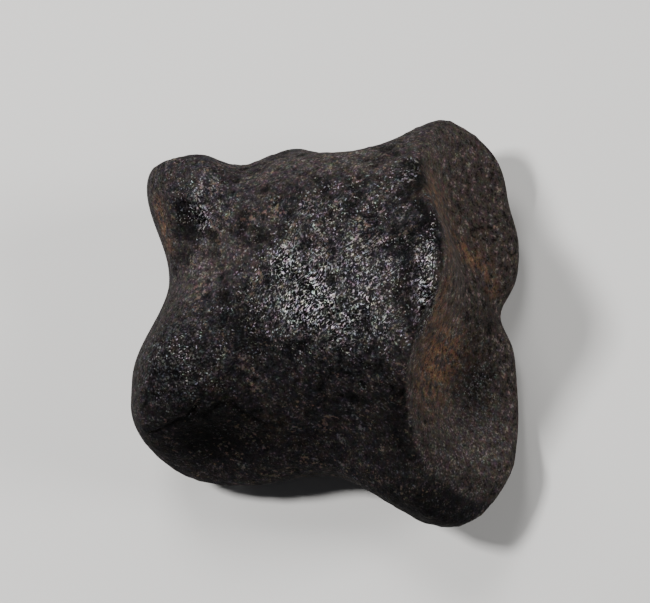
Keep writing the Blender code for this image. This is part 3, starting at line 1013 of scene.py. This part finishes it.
def bump_height(tree, place, deep, ridges, gloss, masks):
    """Fine grain and wrinkles on the bone, and a speckle on the joints."""
    wrinkled = product(tree, ridges, ramp(tree, gloss, WRINKLES_PLAIN, WRINKLES_ON_GLOSS))
    rough = worked(tree, "ADD", placed(tree, grain_group(), place, GRAIN), wrinkled)
    speckle = product(tree, noise(tree, deep, *JOINT_SPECKLE), SPECKLE_HEIGHT)
    return add(tree, "ShaderNodeMix", {0: masks["joint"], 2: rough, 3: speckle}).outputs[0]


def fossil_material(mask_names):
    """Dark mineral-stained bone: glossy and wrinkled on the rough dorsal face, smooth on the joints, with
    painted glints, painted light and painted shade in its colour.
    """
    material = bpy.data.materials.new("river_stained_bone")
    material.use_nodes = True
    tree = material.node_tree
    shader = tree.nodes["Principled BSDF"]
    masks = {
        name: add(tree, "ShaderNodeAttribute", attribute_name=name).outputs["Fac"]
        for name in mask_names
    }
    place = add(tree, "ShaderNodeTexCoord").outputs["Object"]
    deep = stretched(tree, place, (0.0, 0.0, 0.0), JOINT_STRETCH)
    bent = moved(tree, "ADD", place, wander(tree, place, *BENDS))
    drawn = stretched(tree, bent, (0.0, 0.0, WRINKLE_TURN), (WRINKLE_STRETCH, 1.0, 1.0))
    ridges = placed(tree, wrinkle_group(), drawn, WRINKLES)
    wear = noise(tree, place, *WEAR_NOISE)
    uneven = ramp(tree, noise(tree, place, *GLOSS_NOISE), *GLOSS_UNEVEN)
    gloss = between(tree, product(tree, masks["gloss"], uneven), *GLOSS_FULL)

    colour = stone_colour(tree, place, deep, masks)
    colour = painted_glints_and_shade(tree, place, colour, ridges, gloss, wear, masks)
    colour = mixed(tree, 1.0, colour, placed(tree, tint_group(), place, TINT), "MULTIPLY")
    tree.links.new(colour, shader.inputs["Base Color"])

    sheen = between(tree, worked(tree, "ADD", gloss, wear), *SHEEN_LEVELS)
    tree.links.new(ramp(tree, sheen, MATT_ROUGHNESS, GLOSS_ROUGHNESS), shader.inputs["Roughness"])
    shader.inputs["Specular IOR Level"].default_value = SPECULAR_LEVEL

    height = bump_height(tree, place, deep, ridges, gloss, masks)
    bump = add(tree, "ShaderNodeBump", {"Height": height, "Strength": 1.0, "Distance": BUMP_HEIGHT})
    tree.links.new(bump.outputs["Normal"], shader.inputs["Normal"])
    return material


def floor_material():
    """Pale, plain and matt."""
    material = bpy.data.materials.new("pale_floor")
    material.use_nodes = True
    shader = material.node_tree.nodes["Principled BSDF"]
    shader.inputs["Base Color"].default_value = FLOOR_COLOUR
    shader.inputs["Roughness"].default_value = FLOOR_ROUGHNESS
    return material


# Floor, lights and camera

def floor():
    """A square at height 0, centred under the bone."""
    side = FLOOR_HALF_SIDE
    corners = [(-side, -side, 0.0), (side, -side, 0.0), (side, side, 0.0), (-side, side, 0.0)]
    mesh = bpy.data.meshes.new("floor")
    mesh.from_pydata(corners, [], [(0, 1, 2, 3)])
    plane = bpy.data.objects.new("floor", mesh)
    plane.data.materials.append(floor_material())
    bpy.context.scene.collection.objects.link(plane)


def soft_light(name, place, size, power):
    """A square area light at a place in metres, facing the bone."""
    data = bpy.data.lights.new(name, "AREA")
    data.size = size
    data.energy = power
    lamp = bpy.data.objects.new(name, data)
    lamp.location = place
    lamp.rotation_euler = (-lamp.location).to_track_quat("-Z", "Y").to_euler()
    bpy.context.scene.collection.objects.link(lamp)


def lights():
    """The lamps, and dim bluish light from all round."""
    for name, (place, size, power) in LAMPS.items():
        soft_light(name, place, size, power)
    world = bpy.data.worlds.new("studio")
    bpy.context.scene.world = world
    world.use_nodes = True
    background = world.node_tree.nodes["Background"]
    background.inputs["Color"].default_value = AIR_COLOUR
    background.inputs["Strength"].default_value = AIR_STRENGTH


def camera():
    """The camera of the photograph, placed in the bone's own axes and turned and moved with the bone."""
    back = np.array([math.sin(LEAN_TO_PROXIMAL), -math.sin(LEAN_TO_INNER), 0.0])
    back[2] = math.sqrt(1.0 - back @ back)
    right = np.array([1.0, 0.0, 0.0]) - back[0] * back
    right /= np.linalg.norm(right)
    up = np.cross(back, right)
    place = CAMERA_DISTANCE * back - AIM_BELOW_ORIGIN * up
    axes = as_it_lies(np.array([right, up, back]))
    data = bpy.data.cameras.new("camera")
    data.sensor_width = SENSOR_WIDTH
    data.lens = SENSOR_WIDTH * FOCAL_PIXELS / PICTURE_WIDTH
    data.clip_start = NEAR_CLIP
    eye = bpy.data.objects.new("camera", data)
    eye.matrix_world = Matrix(axes.T.tolist()).to_4x4()
    eye.location = (as_it_lies(place[None])[0] + resting_shift()) * MM
    bpy.context.scene.collection.objects.link(eye)
    bpy.context.scene.camera = eye


bone_piece()
floor()
lights()
camera()
